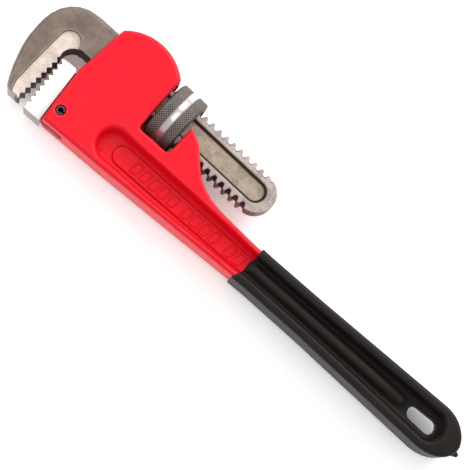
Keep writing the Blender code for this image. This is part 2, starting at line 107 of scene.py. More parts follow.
class WrenchSizes(bpy.types.PropertyGroup):
    """Sizes in millimetres that a user would change."""

    arch_round: size("Arch edge", 3.4, "Edge radius round the arch", 0.5, 4.0)
    head_round: size("Head edge", 1.5, "Edge radius of the head and bar", 0.3, 3.0)
    recess_fillet: size("Recess fillet", 2.8, "Radius at the recess floor", 0.3, 3.0)
    coat: size("Grip coat", 1.2, "Thickness of the dipped coat", 0.8, 1.2)
    coat_round: size("Grip edge", 2.5, "Edge radius of the dipped grip", 0.5, 3.4)
    hook_round: size("Hook edge", 2.6, "Edge radius of the hook's back", 0.3, 4.0)
    knurl_depth: size("Knurl depth", 0.42, "Depth of the nut's knurl", 0.0, 0.6)
    knurl_starts: IntProperty(name="Knurl starts", default=66, min=20, max=160,
                              description="Diagonal grooves round the nut, each way")
    relief_height: size("Relief height", 0.8, "Height of the raised frames", 0.1, 0.8)
    relief_pitch: size("Relief pitch", 6.4, "Spacing of the raised frames", 6.0, 7.5)


class WrenchColours(bpy.types.PropertyGroup):
    """Colours of the finishes."""

    paint: colour("Paint", (0.80, 0.0062, 0.020), "Enamel on the casting")
    vinyl: colour("Vinyl", (0.0135, 0.0112, 0.0102), "Dipped grip")
    forging: colour("Forging", (0.180, 0.130, 0.105), "Scaled surface of the hook jaw")
    ground: colour("Ground face", (0.66, 0.56, 0.49), "Ground flat behind the hook's teeth")
    milled: colour("Milled face", (0.40, 0.335, 0.305), "Milled flats of the shank")
    tan: colour("Pocket floor", (0.33, 0.265, 0.20), "Oiled floor of the shank's pocket")
    bright: colour("Heel jaw", (0.84, 0.81, 0.79), "Bright plated heel jaw")
    knurled: colour("Nut", (0.23, 0.195, 0.175), "Knurled bands of the nut")
    spring: colour("Springs", (0.20, 0.195, 0.19), "Spring steel")


class WrenchStage(bpy.types.PropertyGroup):
    """Camera, light and floor."""

    distance: FloatProperty(name="Distance", default=0.95, min=0.3, max=3.0, unit="LENGTH",
                            description="From the camera to the wrench")
    tilt: FloatProperty(name="Tilt", default=math.radians(10.5), subtype="ANGLE",
                        description="How far the camera leans from straight above")
    roll: FloatProperty(name="Roll", default=math.radians(41.6), subtype="ANGLE",
                        description="How far the wrench is turned in the picture")
    lens: FloatProperty(name="Lens", default=137.8, min=35.0, max=200.0,
                        description="Focal length, in millimetres")
    key_power: FloatProperty(name="Key light", default=7.8, min=0.0, max=200.0, unit="POWER",
                             description="Power of the large key light")
    sky: FloatProperty(name="Surround", default=0.68, min=0.0, max=3.0,
                       description="Strength of the white surround")
    floor: colour("Floor", (0.96, 0.95, 0.955), "Pale floor")
    glow: FloatProperty(name="Floor glow", default=0.32, min=0.0, max=2.0,
                        description="How strongly the floor shines up, like a light table")


# ------------------------------------------------------------------ numbers to surfaces

def place(points):
    """Working-frame millimetres to the model's frame in metres."""
    return np.asarray(points) * MM + ORIGIN


def ease(t):
    """0 to 1 with a soft start and end: 3t^2 - 2t^3."""
    t = np.clip(t, 0.0, 1.0)
    return t * t * (3.0 - 2.0 * t)


def both(a, b, r):
    """Where two solids overlap, with an edge of radius r: a and b are distances, and near
    the edge the result is the distance to a circle of radius r set back by r from both."""
    round_part = np.hypot(np.maximum(a + r, 0.0), np.maximum(b + r, 0.0))
    return np.minimum(-r, np.maximum(a, b)) + round_part


def either(a, b, r):
    """Two solids joined, with a fillet of radius r between them."""
    round_part = np.hypot(np.maximum(r - a, 0.0), np.maximum(r - b, 0.0))
    return np.maximum(r, np.minimum(a, b)) - round_part


def outline(points, x, y):
    """Distance to a closed outline, negative inside: the nearest of its edges, with the
    sign from how many edges lie to one side."""
    best = np.full(x.shape, 1e9)
    inside = np.zeros(x.shape, bool)
    for (ax, ay), (bx, by) in zip(points, points[1:] + points[:1]):
        ex, ey = bx - ax, by - ay
        wx, wy = x - ax, y - ay
        t = np.clip((wx * ex + wy * ey) / (ex * ex + ey * ey), 0.0, 1.0)
        best = np.minimum(best, (wx - ex * t) ** 2 + (wy - ey * t) ** 2)
        if ay != by:
            inside ^= ((ay > y) != (by > y)) & (wx < ex * (y - ay) / ey)
    return np.where(inside, -1.0, 1.0) * np.sqrt(best)


def stadium(x, y, x0, r0, x1, r1, y0=0.0):
    """Distance to a slot with round ends of radius r0 at x0 and r1 at x1."""
    t = np.clip((x - x0) / (x1 - x0), 0.0, 1.0)
    return np.hypot(x - x0 - (x1 - x0) * t, y - y0) - (r0 + (r1 - r0) * t)


def arc(centre, radius, start, end, count):
    """Points on a circle from angle start to angle end, in degrees."""
    a = np.radians(np.linspace(start, end, count + 1))
    return list(zip(centre[0] + radius * np.cos(a), centre[1] + radius * np.sin(a)))


def link(obj, body, *nodes):
    """Put a finished piece in the scene, on its body, in place of its CAD nodes."""
    bpy.context.scene.collection.objects.link(obj)
    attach(obj, body)
    if nodes:
        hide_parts(*nodes)
    return obj


def smooth_object(name, mesh):
    mesh.polygons.foreach_set("use_smooth", np.ones(len(mesh.polygons), bool))
    mesh.update()
    return bpy.data.objects.new(name, mesh)


def grid_object(name, points, wrap_u=False, wrap_v=False, caps=False):
    """A mesh from a grid of points, one quad between each four neighbours. A direction
    that wraps joins its last row to its first. With caps, the first and last row of u
    are each closed by a fan of faces to their middle."""
    rows, cols = points.shape[:2]
    ids = np.arange(rows * cols).reshape(rows, cols)
    u0, u1 = (ids, np.roll(ids, -1, 0)) if wrap_u else (ids[:-1], ids[1:])
    quads = np.stack([u0, u1, np.roll(u1, -1, 1), np.roll(u0, -1, 1)], -1)
    quads = (quads if wrap_v else quads[:, :-1]).reshape(-1, 4)
    flat = points.reshape(-1, 3)
    faces = quads.tolist()
    if caps:
        flat = np.vstack([flat, points[0].mean(0), points[-1].mean(0)])
        for row, middle in ((ids[0], len(flat) - 2), (ids[-1], len(flat) - 1)):
            fan = np.stack([row, np.roll(row, -1), np.full(cols, middle)], -1)
            faces += fan.tolist()
    mesh = bpy.data.meshes.new(name)
    mesh.from_pydata(place(flat).tolist(), [], faces)
    bm = bmesh.new()
    bm.from_mesh(mesh)
    bmesh.ops.recalc_face_normals(bm, faces=bm.faces)
    bm.to_mesh(mesh)
    bm.free()
    return smooth_object(name, mesh)


def seed_mesh(node, cell, cut_x=None, hidden=None):
    """An even net of quads over a copy of a CAD node, cell millimetres across. With cut_x
    the copy first loses what lies beyond that x. With hidden, it loses the inner walls
    where hidden(x, y, z) holds, and the hole that they leave is filled."""
    bm = bmesh.new()
    bm.from_mesh(frame["nodes"][node].data)
    bmesh.ops.remove_doubles(bm, verts=bm.verts, dist=1e-6)
    if hidden is not None:
        points = (np.array([v.co for v in bm.verts]) - ORIGIN) / MM
        inner = hidden(*points.T)
        bmesh.ops.delete(bm, geom=[v for v, gone in zip(list(bm.verts), inner) if gone])
        bmesh.ops.holes_fill(bm, edges=[e for e in bm.edges if e.is_boundary])
    if cut_x is not None:
        geom = list(bm.verts) + list(bm.edges) + list(bm.faces)
        bmesh.ops.bisect_plane(bm, geom=geom, plane_co=place((cut_x, 0, 0)),
                               plane_no=(1, 0, 0), clear_outer=True)
        bmesh.ops.holes_fill(bm, edges=[e for e in bm.edges if e.is_boundary])
    mesh = bpy.data.meshes.new(node + "_seed")
    bm.to_mesh(mesh)
    bm.free()
    seed = bpy.data.objects.new(mesh.name, mesh)
    bpy.context.scene.collection.objects.link(seed)
    remesh = seed.modifiers.new("net", "REMESH")
    remesh.mode = "VOXEL"
    remesh.voxel_size = cell * MM
    graph = bpy.context.evaluated_depsgraph_get()
    net = bpy.data.meshes.new_from_object(seed.evaluated_get(graph), depsgraph=graph)
    bpy.data.objects.remove(seed)
    bpy.data.meshes.remove(mesh)
    return net


def edge_pairs(mesh):
    pairs = np.empty(len(mesh.edges) * 2, np.int32)
    mesh.edges.foreach_get("vertices", pairs)
    return pairs.reshape(-1, 2)


def neighbour_mean(values, pairs):
    """The mean of each vertex's neighbours along the mesh edges."""
    total = np.zeros_like(values)
    count = np.zeros(len(values))
    for a, b in (pairs.T, pairs.T[::-1]):
        np.add.at(total, a, values[b])
        np.add.at(count, a, 1.0)
    return total / np.maximum(count, 1.0).reshape((-1,) + (1,) * (values.ndim - 1))


def slope(field, p, step=0.02):
    """Gradient of a field at points p, by small steps along x, y and z."""
    here = field(*p.T)
    steps = [(field(*(p + step * axis).T) - here) / step for axis in np.eye(3)]
    return here, np.stack(steps, -1)


def shaped_object(name, node, field, cell, cut_x=None, hidden=None, rounds=5):
    """A cast, forged or dipped body. field(x, y, z) is zero on its surface and negative
    inside. An even net over the CAD node is drawn onto that surface: each point moves by
    -field * gradient / |gradient|^2, a few times over, with a little relaxing between."""
    mesh = seed_mesh(node, cell, cut_x, hidden)
    co = np.empty(len(mesh.vertices) * 3)
    mesh.vertices.foreach_get("co", co)
    p = (co.reshape(-1, 3) - ORIGIN) / MM
    pairs = edge_pairs(mesh)
    for i in range(rounds):
        value, grad = slope(field, p)
        step = -value[:, None] * grad / np.maximum((grad ** 2).sum(1), 0.05)[:, None]
        length = np.linalg.norm(step, axis=1, keepdims=True)
        p = p + step * np.minimum(1.0, 1.2 / np.maximum(length, 1e-9))
        if i < rounds - 2:
            p = p + 0.35 * (neighbour_mean(p, pairs) - p)
    mesh.vertices.foreach_set("co", place(p).ravel())
    bend = mesh_bend(mesh, p, pairs, cell)
    set_attribute(mesh, "edge", np.clip(bend, 0.0, 1.0))
    set_attribute(mesh, "hollow", np.clip(-bend, 0.0, 1.0))
    return smooth_object(name, mesh), p


def mesh_bend(mesh, p, pairs, cell):
    """How sharply the surface bends at each vertex: positive on edges, negative in
    corners. It is how far a vertex stands out of its neighbours along its normal."""
    mesh.update()
    normal = np.empty(len(mesh.vertices) * 3, np.float32)
    mesh.vertex_normals.foreach_get("vector", normal)
    stand = ((p - neighbour_mean(p, pairs)) * normal.reshape(-1, 3)).sum(1) / cell
    for _ in range(2):
        stand = 0.5 * stand + 0.5 * neighbour_mean(stand, pairs)
    return stand * 6.0


def set_attribute(mesh, name, values):
    layer = mesh.attributes.new(name, "FLOAT", "POINT")
    layer.data.foreach_set("value", np.asarray(values, np.float32))


# ------------------------------------------------------------------ outlines

END_X, END_LENGTH = 293.8, 17.5
ARCH_AT, ARCH_R = (55.6, 28.0), 29.4
BAR_TOP = [(150.0, 10.3), (163.0, 9.8), (175.0, 9.7), (210.0, 10.1), (END_X, 12.2)]
BAR_BOTTOM = [(150.0, -11.1), (163.0, -10.5), (175.0, -10.1), (210.0, -10.2), (END_X, -12.2)]


def bar_end(half, length, count=9):
    """The handle's blunt end, from +y round to -y: half * (1 - t^2)^n at t along it, with
    n 0.62 above and 0.45 below."""
    a = np.pi / 2 * (1.0 - np.arange(1, 2 * count) / count)
    t = np.cos(a)
    y = np.sign(a) * half * np.maximum(1.0 - t * t, 0.0) ** np.where(a > 0, 0.62, 0.45)
    return list(zip(END_X + length * t, y))


CASTING = (
    [(35.5, -15.2), (32.45, 18.2), (33.6, 26.5)] + arc(ARCH_AT, ARCH_R, 133.5, 47, 24)
    + arc((78.2, 17.1), 2.0, 180, 270, 5) + arc((94.6, 17.1), 2.0, 270, 360, 5)
    + [(96.6, 32.6), (97.6, 33.6), (104.6, 30.4), (107.8, 27.4), (110.4, 24.7), (113.0, 22.0),
       (115.6, 19.5), (118.1, 17.4), (120.8, 15.7), (123.4, 14.4), (126.0, 13.5), (128.6, 12.6),
       (131.3, 11.9), (136.5, 11.1)]
    + BAR_TOP + bar_end(12.2, END_LENGTH) + BAR_BOTTOM[::-1]
    + [(103.8, -13.05), (71.7, -14.4), (50.3, -14.8)])
BAR = [(120.0, 11.1)] + BAR_TOP + bar_end(12.2, END_LENGTH) + BAR_BOTTOM[::-1] + [(120.0, -12.4)]
RECESS = (
    arc((72.4, -0.8), 9.5, 90, 270, 14) + [(104.0, -10.5), (141.0, -9.1)]
    + [(x, y + 2.3) for x, y in BAR_BOTTOM[1:]] + bar_end(9.9, END_LENGTH - 8.7, 7)[::-1]
    + [(x, y - 2.3) for x, y in BAR_TOP[:0:-1]] + [(137.0, 8.4)])
PASSAGE = [(28.0, 22.38), (78.0, 20.94), (78.0, 48.0), (70.0, 50.2), (62.0, 52.0),
           (48.0, 52.2), (41.0, 51.0), (28.0, 51.0)]
NECK_HOLE = [(27.0, 25.3), (50.0, 23.6), (50.0, 50.4), (27.0, 50.4)]
CHANNEL = [(95.0, 19.1), (97.0, 18.7), (127.0, 13.2), (142.0, 11.9), (142.0, 60.0), (95.0, 60.0)]
HOOK_ROOTS = np.linspace((19.35, 14.95), (17.65, -12.2), 8)


def hook_teeth():
    """Tooth tips between the roots of the hook's face, each 1.85 mm proud."""
    found = [(19.3, -14.6)]
    for root, after in zip(HOOK_ROOTS[:0:-1], HOOK_ROOTS[-2::-1]):
        tip = (root + after) / 2 + (1.85, 0.0)
        found += [tuple(root), (tip[0], tip[1] - 0.1), (tip[0], tip[1] + 0.1)]
    return found + [tuple(HOOK_ROOTS[0])]


HOOK = (
    [(54.0, 45.9), (32.5, 46.6), (21.5, 46.7), (14.9, 45.8), (9.6, 43.5), (5.9, 40.4),
     (2.8, 36.1), (0.8, 30.9), (0.0, 25.5), (0.0, 20.5), (0.35, 13.5), (1.5, 7.5), (3.2, 2.0),
     (4.9, -3.2), (7.4, -8.9), (9.8, -13.3), (11.2, -14.8), (18.6, -15.1)]
    + hook_teeth() + [(20.2, 16.6)] + arc((27.8, 18.1), 8.25, 178, 90, 12)
    + [(32.0, 26.2), (54.0, 24.1)])
LAND = ([(14.2, -14.1), (12.9, -12.6), (11.7, -8.0), (11.7, 4.0), (12.4, 25.6)]
        + arc((18.5, 25.6), 6.1, 172, -22, 16)
        + [(30.0, 20.0), (30.0, -17.5), (18.2, -17.5), (17.6, -14.1)])
SHANK = ([(-40.5, 11.2), (-41.0, -9.5), (-33.0, -10.9), (-25.0, -12.9), (56.2, -12.9),
          (57.8, -11.0)] + arc((58.4, 0.0), 11.0, -88, 88, 20)
         + [(57.8, 11.0), (56.2, 12.9), (-25.0, 12.9), (-33.0, 11.3)])
# slots along the shank: x and radius at each end
POCKET = (-31.9, 5.0, 57.3, 5.0)
RING = (-31.9, 13.6, 60.0, 13.6)
# where the dip line lies across the handle: y, then x
DIP_LINE = ([-13, -7, -3.5, 2.5, 4.6, 7, 13], [163.1, 165.6, 166.6, 166.2, 168.2, 167.0, 166.8])


# ------------------------------------------------------------------ fields of the big pieces

def on_shank(x, y):
    """Distance along the shank's axis from the nut's middle, and across it."""
    c, s = math.cos(SHANK_TURN), math.sin(SHANK_TURN)
    dx, dy = x - NUT_AT[0], y - NUT_AT[1]
    return c * dx + s * dy, c * dy - s * dx


def off_shank(along, across, z):
    """Working-frame points from distances along and across the shank's axis."""
    c, s = math.cos(SHANK_TURN), math.sin(SHANK_TURN)
    return np.stack([NUT_AT[0] + c * along - s * across,
                     NUT_AT[1] + s * along + c * across, z], -1)


def recess_cut(x, y, z, grow, fillet):
    """The long hollow of the I-beam on both faces, its walls leaning 1 in 8."""
    depth = np.abs(z) - 2.8 - grow
    wall = outline(RECESS, x, y) + 1.2 + grow - 0.125 * depth
    return both(wall, -depth, fillet)


def casting_field(sizes):
    """Head and bar of the handle: a flat plan with rounded edges, hollowed to an I-beam
    with a raised panel, and pierced for the shank, the heel jaw's tongue and its pin."""
    def field(x, y, z):
        plan = outline(CASTING, x, y)
        from_arch = ARCH_R - np.hypot(x - ARCH_AT[0], y - ARCH_AT[1])
        on_arch = ease(1.0 - from_arch / 6.0) * ease((y - 34.0) / 8.0)
        low = ease((-y - 6.0) / 4.0)
        edge = sizes.head_round + (sizes.arch_round - sizes.head_round) * on_arch + 0.9 * low
        step = 0.09 * (1.0 - ease((x - 67.0) / 0.9)) * ease((y - 14.0) / 6.0)
        face = np.abs(z) - (12.0 - step - ease((x - 112.0) / 48.0))
        body = both(plan, face, edge)
        lip = 0.8 + 1.4 * ease((84.0 - x) / 16.0)
        body = both(body, -recess_cut(x, y, z, 0.0, sizes.recess_fillet), lip)
        panel = both(stadium(x, y, 79.4, 5.3, 271.5, 3.7, -0.6), np.abs(z) - 4.0, 0.4)
        body = either(body, panel, 0.5)
        flat = np.abs(z) - 6.5
        body = both(body, -np.maximum(outline(PASSAGE, x, y), flat), 0.3)
        body = both(body, -np.maximum(outline(NECK_HOLE, x, y), np.abs(z) - 9.4), 0.3)
        body = both(body, -np.maximum(outline(CHANNEL, x, y), flat), 0.4)
        tongue = np.hypot(np.maximum(x - 44.8, 0.0), z) - 4.3
        body = both(body, -np.maximum(tongue, y - 11.5), 0.3)
        body = both(body, 2.8 - np.hypot(x - 39.9, y + 5.5), 0.25)
        pit = np.sqrt((x - 68.9) ** 2 + (y + 5.6) ** 2 + (np.abs(z) - 2.9) ** 2)
        return np.maximum(body, 0.9 - pit)
    return field


def grip_field(sizes, soft=1.0):
    """The handle bar grown by the coat, rounder in every edge, with the hanging slot, the
    drip at its end and an uneven dip line where it starts. soft scales most radii, and
    under 0.1 the ridge is the CAD sleeve's, to tell its inner walls from its outer ones."""
    coat = sizes.coat

    def field(x, y, z):
        body = both(outline(BAR, x, y) - coat, np.abs(z) - 11.0 - coat, sizes.coat_round * soft)
        body = both(body, -recess_cut(x, y, z, coat, 3.2 * soft), 1.5 * soft)
        if soft < 0.1:
            ridge, crown = stadium(x, y, 150.0, 4.8, 271.5, 3.7, -0.6) - coat, 5.2
        else:
            ridge = stadium(x, y, 150.0, 3.9, 271.5, 3.4, 0.3) - 2.4 * ease((188.0 - x) / 18.0)
            crown = 7.5 - 0.2 * (y - 0.3) ** 2 - 1.6 * ease((x - 258.0) / 16.0)
        body = either(body, both(ridge, np.abs(z) - crown, 1.6 * soft), 3.0 * soft)
        slot = stadium(x, y, 283.4, 3.7, 293.8, 4.2)
        body = both(body, -slot, 1.0 * soft)
        reach = np.clip((x - 311.0) / 5.0, 0.0, 1.0)
        drip = np.maximum(np.hypot(y + 1.2, z) - 3.4 + 2.5 * reach, x - 316.0)
        body = either(body, both(drip, 308.0 - x, 0.2), 1.2)
        return both(body, np.interp(y, *DIP_LINE) - x, 0.9)
    return field


def thread_radius(along, angle, crest, root, flat, foot):
    """Radius of a right-hand thread: crest wide over 2 x flat, then down to the root."""
    turn = (along - CREST_AT - PITCH * angle / (2 * np.pi) + PITCH / 2) % PITCH - PITCH / 2
    return root + (crest - root) * ease((foot - np.abs(turn)) / (foot - flat))


def shank_field(x, y, z):
    """The shank: a flat bar 12 mm thick with a thread cut round it, and a long pocket in
    each face."""
    along, across = on_shank(x, y)
    blank = both(outline(SHANK, along, across), np.abs(z) - 6.0, 0.5)
    radius = np.hypot(across, z)
    cut = thread_radius(along, np.arctan2(z, across), CREST_R, ROOT_R, 0.45, 1.9)
    threaded = ease((along + 29.0) / 3.0) * ease((61.5 - along) / 2.0)
    cut = cut * threaded + 14.0 * (1.0 - threaded)
    blank = both(blank, (radius - cut) * 0.8, 0.35)
    depth = np.abs(z) - 4.4
    wall = stadium(along, across, *POCKET) - 0.9 * depth
    return both(blank, -both(wall, -depth, 0.5), 0.3)


def hook_field(sizes):
    """The hook jaw: a forged head with rounded back, ground lands beside the teeth, and a
    milled, threaded shank."""
    def field(x, y, z):
        back = np.maximum(ease((10.5 - x) / 4.0), ease((y - 36.0) / 4.0))
        edge = 0.3 + (sizes.hook_round - 0.3) * back
        head = both(outline(HOOK, x, y), np.abs(z) - 9.0, edge)
        head = both(head, -both(outline(LAND, x, y), 7.0 - np.abs(z), 0.8), 0.4)
        along, across = on_shank(x, y)
        ring = stadium(along, across, *RING)
        head = both(head, -both(ring, 6.0 - np.abs(z), 0.8), 0.5)
        return either(head, shank_field(x, y, z), 0.6)
    return field


# ------------------------------------------------------------------ pieces

def build_casting(sizes):
    """The casting, with a value at each vertex for the painted shade in its recesses and on
    the walls of the shank's way.
    """
    obj, p = shaped_object("casting_body", "handle_casting", casting_field(sizes), 0.66, 174.0)
    x, y, z = p.T
    high = np.abs(z)
    recess = ease((0.2 - outline(RECESS, x, y)) / 0.8)
    shank_way = (x < 77.5) | (x > 95.5)
    # Near-black painted shade on the walls of the shank's way through the head; the same mask also
    # takes in the outer side of the arch and of the head behind the nut.
    inside = ease((6.9 - high) / 0.5) * (y > 11.8) * shank_way * (recess < 0.5)
    # Painted shade: darker towards the floor of the recess.
    set_attribute(obj.data, "painted_shade", ease((9.5 - high) / 5.0) * recess)
    set_attribute(obj.data, "inside", inside)
    return link(obj, "handle", "handle_casting")


def build_relief(sizes):
    """Raised frames on the panel, in place of lettering. Each is a low round bead carried
    along a leaning superellipse, |x/a|^5 + |y/b|^5 = 1."""
    rows = ((89.3, 5), (124.6, 4), (154.6, 2))
    starts = np.concatenate([x0 + sizes.relief_pitch * np.arange(count) for x0, count in rows])
    turn = np.linspace(0.0, 2 * np.pi, 56, endpoint=False)
    c, s = np.cos(turn), np.sin(turn)
    size_x, size_y = 2.1, 3.2
    path = np.stack([size_x * np.sign(c) * np.abs(c) ** 0.4,
                     size_y * np.sign(s) * np.abs(s) ** 0.4], -1)
    ahead = np.roll(path, -1, 0) - np.roll(path, 1, 0)
    out = np.stack([ahead[:, 1], -ahead[:, 0]], -1)
    out /= np.linalg.norm(out, axis=1, keepdims=True)
    bead = np.linspace(0.0, np.pi, 7)
    across, up = 0.5 * np.cos(bead), sizes.relief_height * np.sin(bead) - 0.05
    across, up = np.append(across, [-0.4, 0.4]), np.append(up, [-0.3, -0.3])
    made = []
    for side, label in ((1.0, "front"), (-1.0, "back")):
        rings = []
        for x0 in starts:
            flat = path[:, None] + out[:, None] * across[None, :, None]
            lean = flat[..., 0] + 0.18 * flat[..., 1] + x0
            height = np.broadcast_to(4.0 + up, lean.shape)
            rings.append(np.stack([lean, flat[..., 1] - 0.6, side * height], -1))
        parts = [grid_object(f"relief_part_{i}", ring, True, True) for i, ring in enumerate(rings)]
        obj = join_parts(f"panel_frames_{label}", parts)
        # Painted shade: the frames darken towards their foot, where they meet the panel.
        foot = np.tile(1.0 - ease(up / sizes.relief_height * 1.1), len(path) * len(starts))
        set_attribute(obj.data, "painted_shade", foot * 5.5)
        made.append(link(obj, "handle"))
    return made


def join_parts(name, parts):
    """One mesh from several finished ones."""
    bm = bmesh.new()
    for part in parts:
        bm.from_mesh(part.data)
        bpy.data.objects.remove(part)
    mesh = bpy.data.meshes.new(name)
    bm.to_mesh(mesh)
    bm.free()
    return smooth_object(name, mesh)


def build_grip(sizes):
    """The dipped grip, from a net over the CAD sleeve without its inner walls."""
    field, sharp = grip_field(sizes), grip_field(sizes, 0.02)

    def cavity(x, y, z):
        return (sharp(x, y, z) < -0.5) & (x < 312.0)

    obj, _ = shaped_object("dipped_grip", "grip_sleeve", field, 0.7, hidden=cavity)
    return link(obj, "handle", "grip_sleeve")


def build_hook(sizes):
    """The hook jaw, with a value at each vertex for its ground, milled and pocket faces, and
    for the painted shade on its walls.
    """
    obj, p = shaped_object("hook_forging", "hook_jaw", hook_field(sizes), 0.5)
    x, y, z = p.T
    along, across = on_shank(x, y)
    high = np.abs(z)
    ground = ease((-outline(LAND, x, y) + 0.1) / 0.5) * (np.abs(high - 7.0) < 0.45) * (x < 30)
    ring = stadium(along, across, *RING)
    milled = ease((0.3 - ring) / 0.5) * ease((high - 5.5) / 0.3) * (high < 6.6) * (x > 38)
    milled = np.maximum(milled, ease((-14.2 - y) / 0.6) * (x < 21))
    inner = stadium(along, across, *POCKET)
    floor = ease((-inner + 0.1) / 0.5) * (np.abs(high - 4.4) < 0.6) * (x > 40)
    # Painted shade, near black: the pocket's walls (there partly grime), the teeth and the throat,
    # and less strongly the thread's flanks on one side.
    wall = ease((inner + 0.45) / 0.5) * ease((5.95 - high) / 0.3) * (inner < 1.8) * (high > 4.2)
    wall = wall * (x > 40)
    face = outline(HOOK, x, y)
    teeth = (face > -0.5) * (high < 6.7) * (x > 16.5) * (x < 33.0) * (y < 27.5) * (y > -16.5)
    wall = np.maximum(wall, teeth)
    flank = ease((11.9 - np.hypot(across, z)) / 0.6) * (high < 5.6) * (along > -26) * (wall < 0.1)
    wall = np.maximum(wall, 0.75 * flank * (np.abs(across) > 8.0) * (across < 0))
    for name, mask in (("ground", ground), ("milled", milled), ("floor", floor), ("wall", wall)):
        set_attribute(obj.data, name, mask)
    return link(obj, "hook", "hook_jaw")


def knurl(angle, along, starts, depth):
    """Depth of a diamond knurl: two sets of V grooves that cross, one leaning each way."""
    turn = starts * angle / (2 * np.pi)
    lean = along * starts / (2 * np.pi * 17.3)
    grooves = [np.abs(2.0 * ((turn + way * lean) % 1.0) - 1.0) ** 1.6 for way in (1, -1)]
    return depth * np.maximum(*grooves)


def build_nut(sizes):
    """The adjusting nut: a closed section (along, radius) carried round its axis. Two
    bands are knurled, a polished groove runs between them, and the bore is threaded."""
    count = 588
    angle = np.linspace(0.0, 2 * np.pi, count, endpoint=False)[:, None]
    band = np.linspace(0.0, 1.0, 30)
    left, right = -7.3 + 5.1 * band, 2.2 + 5.1 * band
    groove = np.linspace(-1.0, 1.0, 9)
    bore = np.linspace(8.5, -8.5, 60)
    along = np.concatenate([[-8.5, -8.5, -8.3, -7.9], left, [-1.85], 1.6 * groove, [1.85], right,
                            [7.9, 8.3, 8.5, 8.5], bore])
    radius = np.concatenate([[14.4, 15.6, 16.3, 16.9], np.full(30, 17.3), [16.6],
                             16.0 - 0.12 * (1 - groove ** 2), [16.6], np.full(30, 17.3),
                             [16.9, 16.3, 15.6, 14.4], bore * 0])
    kind = np.concatenate([[0] * 4, [1] * 30, [0] * 11, [1] * 30, [0] * 4, [2] * 60])
    a = np.broadcast_to(angle, (count, len(along)))
    s = np.broadcast_to(along, a.shape)
    cut = knurl(a, s, sizes.knurl_starts, sizes.knurl_depth)
    inside = thread_radius(s, a, CREST_R + 0.4, ROOT_R + 0.5, 1.0, 1.9)
    flare = ease((np.abs(s) - 7.3) / 1.2) * 1.2
    r = np.where(kind == 1, radius - cut, np.where(kind == 2, np.minimum(inside + flare, 13.6),
                                                   radius))
    obj = grid_object("knurled_nut", off_shank(s, r * np.cos(a), r * np.sin(a)), True, True)
    shape = (kind[None, :] == 1) * np.ones((count, 1))
    dull = np.maximum(shape, (np.abs(along) > 7.6)[None, :])
    set_attribute(obj.data, "knurl", (shape * (1.0 - cut / max(sizes.knurl_depth, 1e-6))).ravel())
    set_attribute(obj.data, "band", dull.ravel())
    return link(obj, "nut", "adjusting_nut")


def build_heel():
    """The heel jaw: a merged copy of its CAD solid with every sharp edge eased."""
    shaded_tooth_side, tongue, underside = 1, 2, 3
    bm = bmesh.new()
    bm.from_mesh(frame["nodes"]["heel_jaw"].data)
    bmesh.ops.remove_doubles(bm, verts=bm.verts, dist=1e-6)
    bmesh.ops.dissolve_limit(bm, angle_limit=math.radians(2), verts=bm.verts, edges=bm.edges)
    mesh = bpy.data.meshes.new("heel_block")
    bm.normal_update()
    tongue_x = place((35.6, 0, 0))[0]
    # Painted shade: the toothed face, the tongue and the underside take darker colours than the
    # bright jaw; the tongue's dark red stands for the shaded red slot round it.
    for face in bm.faces:
        if face.calc_center_median().x > tongue_x:
            face.material_index = tongue
        elif face.normal.x < -0.25:
            face.material_index = shaded_tooth_side
        elif face.normal.y < -0.8:
            face.material_index = underside
    bm.to_mesh(mesh)
    bm.free()
    obj = smooth_object("heel_block", mesh)
    bevel = obj.modifiers.new("eased edges", "BEVEL")
    bevel.width = 0.22 * MM
    bevel.segments = 2
    bevel.limit_method = "ANGLE"
    bevel.angle_limit = math.radians(25)
    bevel.harden_normals = True
    return link(obj, "handle", "heel_jaw")


def build_pin():
    """The rolled pin: an open ring carried along z, its ends chamfered."""
    centre, outer, inner, count = (39.9, -5.5), 2.5, 1.4, 40
    turn = np.radians(np.linspace(14, 346, count))
    edge = np.concatenate([turn, turn[::-1]])
    wall = np.repeat([outer, inner], count)
    inward = np.repeat([-1.0, 1.0], count)
    high = np.array([-11.4, -11.0, 11.0, 11.4])
    trim = np.array([0.35, 0.0, 0.0, 0.35])
    r = wall[None, :] + inward[None, :] * trim[:, None]
    points = np.stack([centre[0] + r * np.cos(edge), centre[1] + r * np.sin(edge),
                       np.broadcast_to(high[:, None], r.shape)], -1)
    obj = grid_object("rolled_pin", points, False, True)
    close_ring_ends(obj.data, count, len(high))
    return link(obj, "handle", "heel_jaw_pin")


def close_ring_ends(mesh, count, rows):
    """Close both ends of an open ring with quads between its outer and inner edge."""
    bm = bmesh.new()
    bm.from_mesh(mesh)
    bm.verts.ensure_lookup_table()
    for row in (0, rows - 1):
        base = row * 2 * count
        for i in range(count - 1):
            bm.faces.new([bm.verts[base + k] for k in
                          (i, i + 1, 2 * count - 2 - i, 2 * count - 1 - i)])
    bmesh.ops.recalc_face_normals(bm, faces=bm.faces)
    bm.to_mesh(mesh)
    bm.free()


def build_coil():
    """The coil spring: a round wire carried up a helix, which starts base above the
    shank's axis."""
    turns, rise, base, coil_r, wire_r = 3.0, 1.12, 14.5, 2.5, 0.45
    t = np.linspace(0.0, 1.0, 160)[:, None]
    a = 2 * np.pi * turns * t
    b = np.linspace(0.0, 2 * np.pi, 12, endpoint=False)[None, :]
    r = coil_r + wire_r * np.cos(b)
    across = base + rise * turns * t + wire_r * np.sin(b)
    points = off_shank(-29.5 + r * np.cos(a), across, r * np.sin(a))
    return link(grid_object("spring_coil", points, False, True, caps=True), "rocker", "coil_spring")


# ------------------------------------------------------------------ finishes

